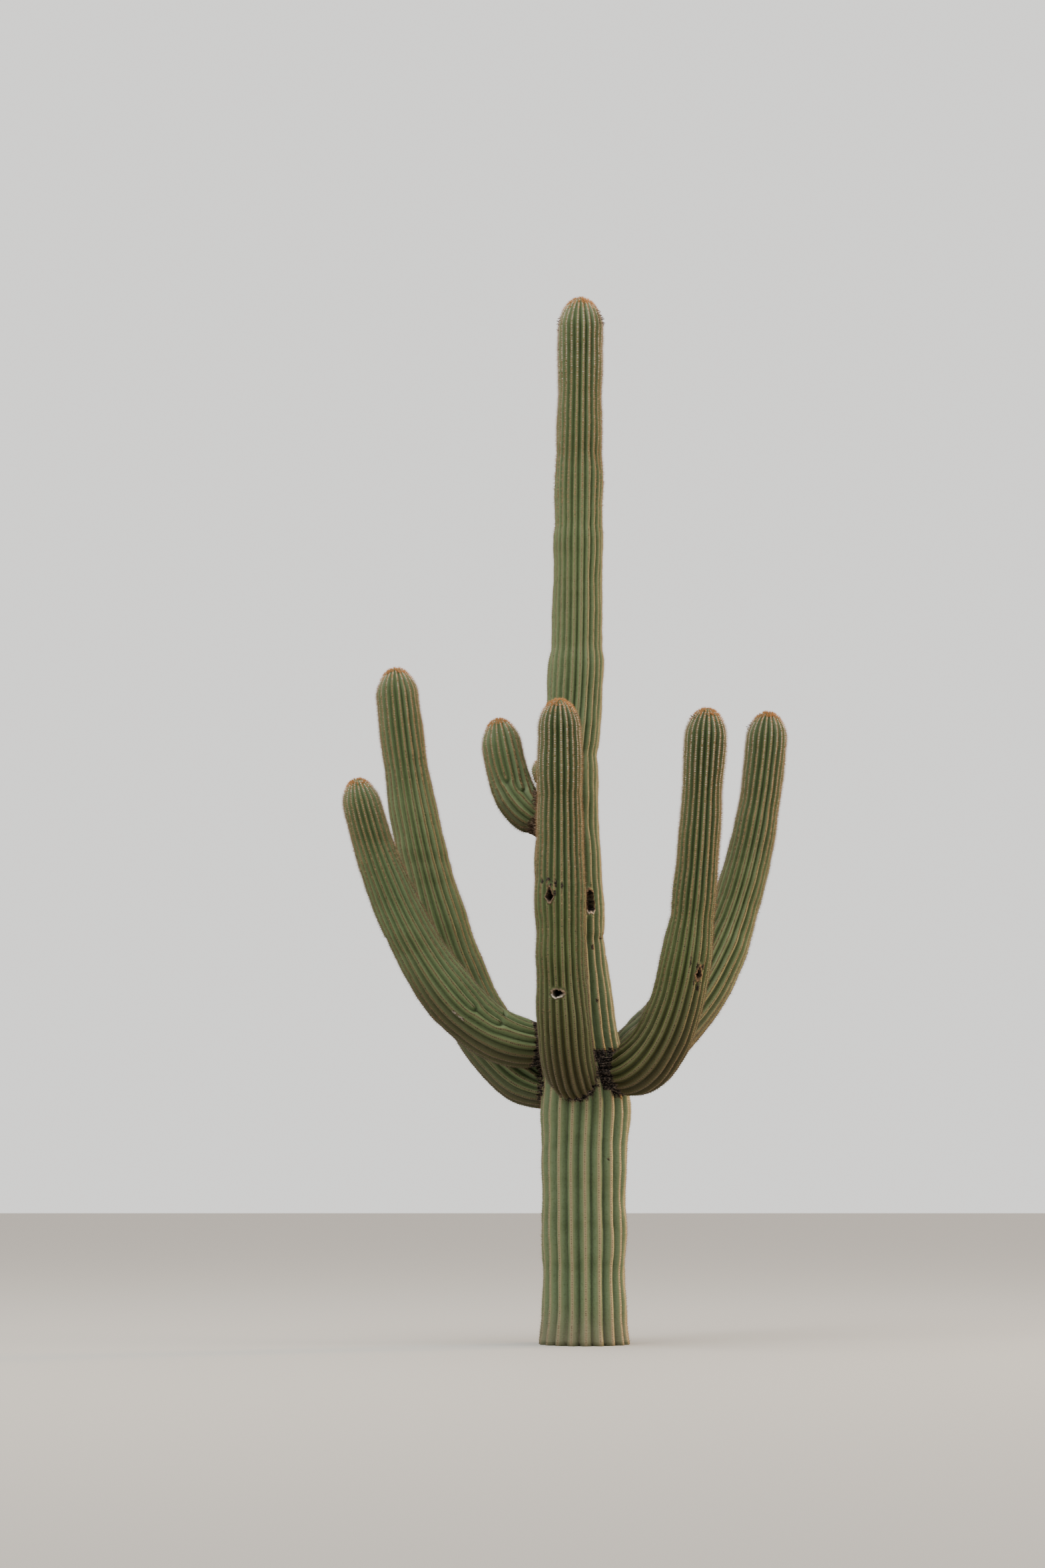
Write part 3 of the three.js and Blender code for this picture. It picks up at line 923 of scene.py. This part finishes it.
class Paint:
    """Short names for the shader nodes that a skin is painted with."""

    def __init__(self, tree):
        self.tree = tree
        self.place = self.node("TexCoord").outputs["Object"]

    def node(self, kind):
        return self.tree.nodes.new("ShaderNode" + kind)

    def feed(self, node, inputs):
        """Gives each input a number, a colour or what another node puts out, and returns the outputs."""
        for key, what in inputs.items():
            socket = node.inputs[key]
            if isinstance(what, bpy.types.NodeSocket):
                self.tree.links.new(what, socket)
            else:
                socket.default_value = (*what, 1) if socket.type == "RGBA" else what
        return node.outputs

    def value(self, name):
        node = self.node("Attribute")
        node.attribute_name = name
        return node.outputs["Fac"]

    def maths(self, kind, a, b=0.0):
        node = self.node("Math")
        node.operation = kind
        return self.feed(node, {0: a, 1: b})[0]

    def times(self, a, b):
        return self.maths("MULTIPLY", a, b)

    def plus(self, a, b):
        return self.maths("ADD", a, b)

    def span(self, value, low, high, to_low=0.0, to_high=1.0):
        """Goes smoothly from to_low to to_high as the value goes from low to high."""
        node = self.node("MapRange")
        node.interpolation_type = "SMOOTHSTEP"
        return self.feed(node, dict(enumerate((value, low, high, to_low, to_high))))[0]

    def mix(self, share, a, b):
        node = self.node("Mix")
        node.data_type = "RGBA"
        return self.feed(node, {0: share, 6: a, 7: b})[2]

    def noise(self, scale, detail, stretch=None):
        place = self.place
        if stretch:
            place = self.feed(self.node("Mapping"), {"Vector": place, "Scale": stretch})["Vector"]
        return self.feed(self.node("TexNoise"), {"Vector": place, "Scale": scale, "Detail": detail})["Fac"]

    def bump(self, height, strength, distance, below=None):
        inputs = {"Height": height, "Strength": strength, "Distance": distance}
        if below is not None:
            inputs["Normal"] = below
        return self.feed(self.node("Bump"), inputs)["Normal"]


# The skin's material. along and tip are in metres, from a stem's start and from its tip
# Painted shade for the grooves
GROOVE_SHADE_GREEN = (0.011, 0.018, 0.004)
GREEN_FOOT = (0.125, 0.17, 0.095)
# Deep brown: painted shade, partly real brown, where the skin faces down, and the darker brown towards the
# base of the warmer arms
BROWN_DEEP = (0.03, 0.022, 0.005)
GREEN_WARM = (0.052, 0.073, 0.018)
GREEN_SAGE = (0.09, 0.132, 0.057)
GREEN_PALE = (0.1, 0.125, 0.055)
GREEN_OLD = (0.082, 0.118, 0.054)
GREEN_DARK = (0.03, 0.045, 0.01)
# Painted highlight for the ridges and the raised wrinkles
CREST_HIGHLIGHT_GREEN = (0.12, 0.135, 0.055)
GREEN_YOUNG = (0.038, 0.064, 0.02)
# Pale crest line: partly chalky wax, partly a painted highlight
CHALK_AND_HIGHLIGHT = (0.33, 0.25, 0.15)
TAN = (0.155, 0.11, 0.052)
CORK_DARK = (0.007, 0.005, 0.004)
# Greyish brown of the raised cork layers: partly its own colour, partly a painted highlight
CORK_BROWN_AND_HIGHLIGHT = (0.15, 0.115, 0.092)
LIP_DARK = (0.07, 0.04, 0.02)
LIP_BROWN = (0.18, 0.115, 0.065)
LIP_PALE = (0.5, 0.44, 0.37)
# Painted shade in the nest holes, with a little brown; the dark scars take these colours as their own
PIT_SHADE_AND_SCAR_DARK = (0.004, 0.003, 0.002)
PIT_SHADE_AND_SCAR_BROWN = (0.025, 0.015, 0.009)
FOOT_BROWN = (0.13, 0.105, 0.07)


def flesh(paint, mark, blotch, fine):
    """The green of the skin, by stem and by age, in patches, darker brown towards the base of the warmer
    arms, and darker where it faces down: partly real brown, partly painted shade.
    """
    sage, young, tip = mark["sage"], mark["young"], mark["tip"]
    colour = paint.mix(sage, GREEN_WARM, GREEN_SAGE)
    colour = paint.mix(paint.times(young, paint.span(sage, 0, 1, 1, 0.4)), colour, GREEN_YOUNG)
    colour = paint.mix(paint.times(paint.span(tip, 2.3, 3.6), sage), colour, GREEN_OLD)
    colour = paint.mix(paint.span(tip, 5.2, 6.8, 0, 0.45), colour, GREEN_FOOT)
    most = paint.times(paint.span(young, 0, 1, 0.55, 0.15), paint.span(sage, 0, 1, 0.3, 1))
    colour = paint.mix(paint.times(paint.span(blotch, 0.4, 0.7), most), colour, GREEN_PALE)
    colour = paint.mix(paint.span(fine, 0.5, 0.75, 0, 0.35), colour, GREEN_DARK)
    growth = paint.noise(2.4, 3, (0.3, 0.3, 1.5))
    colour = paint.mix(paint.span(growth, 0.48, 0.68, 0, 0.4), colour, GREEN_DARK)
    # Painted shade, partly real brown, where the skin faces down near an arm's bend
    colour = paint.mix(paint.times(mark["under"], 0.82), colour, BROWN_DEEP)
    # Darker brown towards the base of the warmer arms
    worn = paint.times(paint.span(mark["along"], 1.6, 0.7, 0, 0.55), paint.span(sage, 0.6, 0.1))
    return paint.mix(worn, colour, BROWN_DEEP)


def ribbed(paint, mark, colour, wrinkle):
    """Painted shade in the grooves, a painted highlight on the ridges and faintly on the raised wrinkles, and
    lines along the crests that go from tan to chalk, the chalk partly a painted highlight.
    """
    rib, sage, young, tip = mark["rib"], mark["sage"], mark["young"], mark["tip"]
    # Painted shade in the grooves, stronger on the warmer stems
    groove = paint.times(paint.span(rib, 0.45, 0.0), paint.span(sage, 0, 1, 0.92, 0.6))
    colour = paint.mix(groove, colour, GROOVE_SHADE_GREEN)
    # Painted highlight on the ridges, fading where the skin faces down
    ridge_highlight = paint.times(paint.span(rib, 0.7, 0.97), paint.span(mark["under"], 0, 1, 0.6, 0.1))
    colour = paint.mix(ridge_highlight, colour, CREST_HIGHLIGHT_GREEN)
    # A faint painted highlight on the raised wrinkles
    colour = paint.mix(paint.times(wrinkle, 0.07), colour, CREST_HIGHLIGHT_GREEN)
    # The chalk line along the old crests is partly chalky wax, partly a painted highlight
    line = paint.mix(paint.times(paint.span(tip, 2.0, 5.6), mark["chalk"]), TAN, CHALK_AND_HIGHLIGHT)
    narrow = paint.times(mark["chalk"], paint.span(tip, 5.2, 3.8))
    start = paint.plus(paint.span(young, 0, 1, 0.93, 0.83), paint.times(narrow, 0.035))
    chalky = paint.times(paint.span(tip, 2.6, 5.8, 0, 0.52), mark["chalk"])
    tanned = paint.times(paint.span(young, 0, 1, 0.4, 0.55), paint.span(narrow, 0, 1, 1, 0.7))
    strength = paint.maths("MAXIMUM", tanned, chalky)
    return paint.mix(paint.times(paint.span(rib, start, 0.99), strength), colour, line)


def dusty_foot(paint, mark, colour, blotch):
    """Dust on the foot of the trunk, the one stem over 8 m long."""
    low = paint.plus(mark["along"], paint.times(blotch, 0.3))
    foot = paint.times(paint.span(low, 0.55, 0.15, 0, 0.5), paint.span(mark["tip"], 8, 8.2))
    return paint.mix(foot, colour, FOOT_BROWN)


def corked(paint, mark, colour, crust):
    """Black cork with greyish brown on its raised layers, partly a painted highlight, brown or pale lips
    round the holes, and painted shade in the holes, whose colours the dark scars share.
    """
    lip = paint.mix(paint.span(crust, 0.3, 0.7), LIP_DARK, LIP_BROWN)
    lip = paint.mix(paint.times(mark["pale"], paint.span(crust, 0.25, 0.5)), lip, LIP_PALE)
    # Greyish brown where the cork's bump is high: partly its own colour, partly a painted highlight
    bark = paint.mix(paint.span(crust, 0.47, 0.64), CORK_DARK, CORK_BROWN_AND_HIGHLIGHT)
    colour = paint.mix(mark["cork"], colour, paint.mix(mark["bark"], lip, bark))
    # Painted shade in the nest holes, with a little brown; the dark scars take it as their own colour
    hole = paint.mix(paint.span(crust, 0.4, 0.65), PIT_SHADE_AND_SCAR_DARK, PIT_SHADE_AND_SCAR_BROWN)
    return paint.mix(mark["hole"], colour, hole)


def skin_material():
    material, tree, shader = nodes_of("saguaro_skin", 0.5)
    paint = Paint(tree)
    marks = ("rib", "along", "tip", "young", "under", "sage", "chalk", "cork", "hole", "pale", "bark")
    mark = {name: paint.value(name) for name in marks}
    blotch = paint.noise(2.6, 4)
    fine = paint.noise(60, 4)
    crust = paint.noise(48, 6, (1, 1, 2.2))
    drift = paint.times(paint.noise(16, 2), 0.03)
    wave = paint.times(paint.plus(mark["along"], drift), 2 * math.pi / WRINKLE)
    wrinkle = paint.span(paint.maths("SINE", wave), 0.55, 1)
    colour = flesh(paint, mark, blotch, fine)
    colour = ribbed(paint, mark, colour, wrinkle)
    colour = dusty_foot(paint, mark, colour, blotch)
    colour = corked(paint, mark, colour, crust)
    rough = paint.plus(paint.span(fine, 0.3, 0.7, 0.5, 0.62), paint.times(mark["cork"], 0.3))
    relief = paint.bump(wrinkle, 0.3, 0.003)
    relief = paint.bump(fine, 0.2, 0.002, relief)
    relief = paint.bump(paint.times(crust, mark["cork"]), 0.9, 0.02, relief)
    paint.feed(shader, {"Base Color": colour, "Roughness": rough, "Normal": relief})
    shader.inputs["Specular IOR Level"].default_value = 0.28
    return material


# Building
TRUNK_STEM = Stem("trunk", TRUNK)
ARM_STEMS = [Stem(name, spec) for name, spec in ARMS.items()]
SKIN = skin_material()
PLAIN = {name: plain(name, *look) for name, look in PLAIN_LOOKS.items()}


def dress_stem(stem):
    """A stem's skin, with its pads, spines and dried flowers by age."""
    make_skin(stem)
    pads = pads_of(stem)
    aged = pads["left"] * rng.uniform(*AGE_JITTER, len(pads["left"]))
    woolly, white, cream = (aged < reach for reach in stem.spec["young"])
    bare = ~woolly | (rng.uniform(size=len(aged)) < BARE_SHARE)
    crown = pads["dome"] < CROWN_FROM
    low = pads["along"] * rng.uniform(*WORN_JITTER, len(aged)) < WORN_BELOW
    worn = low & ~woolly & (stem.name not in ONE_NODE)
    kinds = {
        "felt": bare & ~worn,
        "felt_worn": worn,
        "wool": ~bare & white,
        "wool_cream": ~bare & cream & ~white,
        "wool_old": ~bare & ~cream,
    }
    for kind, mask in kinds.items():
        make_pads(stem, kind, pick(pads, mask))
    grown = "old" if stem.name == "trunk" else "grown"
    ages = {"worn": worn, grown: ~woolly & ~worn, "young": woolly & ~crown, "crown": crown}
    for kind, mask in ages.items():
        make_spines(f"{stem.name}_spines_{kind}", kind, pick(pads, mask))
    make_spines(stem.name + "_spines_tuft", "crown", tuft(stem), stem.head / TUFT_HEAD)
    make_flowers(stem, pads)


for stem in [TRUNK_STEM, *ARM_STEMS]:
    dress_stem(stem)

# Camera, as the photograph was taken
EYE = Vector((-0.505, -30.5, 1.6))
PITCH_UP = 5.6
LENS = 85
SENSOR = 36
camera = bpy.data.objects.new("camera", bpy.data.cameras.new("camera"))
camera.data.lens = LENS
camera.data.sensor_width = SENSOR
camera.data.clip_end = 200
camera.location = EYE
camera.rotation_euler = (math.radians(90 + PITCH_UP), 0, 0)
bpy.context.collection.objects.link(camera)
bpy.context.scene.camera = camera

# Lights: kind, place, power, colour and size
LIGHTS = {
    "key": ("AREA", (-11, -11, 14), 1500, (1, 0.96, 0.89), 9),
    "top": ("AREA", (-3, -3, 20), 3200, (1, 0.96, 0.89), 9),
    "side": ("AREA", (13, -2, 6), 1300, (1, 0.84, 0.66), 6),
    "low_warm": ("SUN", (14, 6.5, 5.8), 5, (1, 0.5, 0.17), 0.2),
}
AIMED_AT = Vector((0, 0, 4.2))  # the middle of the plant
SKY = (0.93, 0.92, 0.89)
SKY_STRENGTH = 1.4
FLOOR_HALF = 60


def make_floor():
    corners = [(x * FLOOR_HALF, y * FLOOR_HALF, 0) for x, y in ((-1, -1), (1, -1), (1, 1), (-1, 1))]
    floor = add_mesh("floor", corners, [[(0, 1, 2, 3)]], False)
    floor.data.materials.append(PLAIN["floor_pale"])


def add_light(name, kind, place, power, colour, size):
    """A sun's size is the angle that it fills."""
    light = bpy.data.lights.new(name, kind)
    light.energy = power
    light.color = colour
    if kind == "SUN":
        light.angle = size
    else:
        light.size = size
    lamp = bpy.data.objects.new(name, light)
    lamp.location = place
    lamp.rotation_euler = (AIMED_AT - Vector(place)).to_track_quat("-Z", "Y").to_euler()
    bpy.context.collection.objects.link(lamp)


def make_sky():
    world = bpy.data.worlds.new("studio")
    world.use_nodes = True
    sky = world.node_tree.nodes["Background"]
    sky.inputs["Color"].default_value = (*SKY, 1)
    sky.inputs["Strength"].default_value = SKY_STRENGTH
    bpy.context.scene.world = world


make_floor()
make_sky()
for name, light in LIGHTS.items():
    add_light(name, *light)
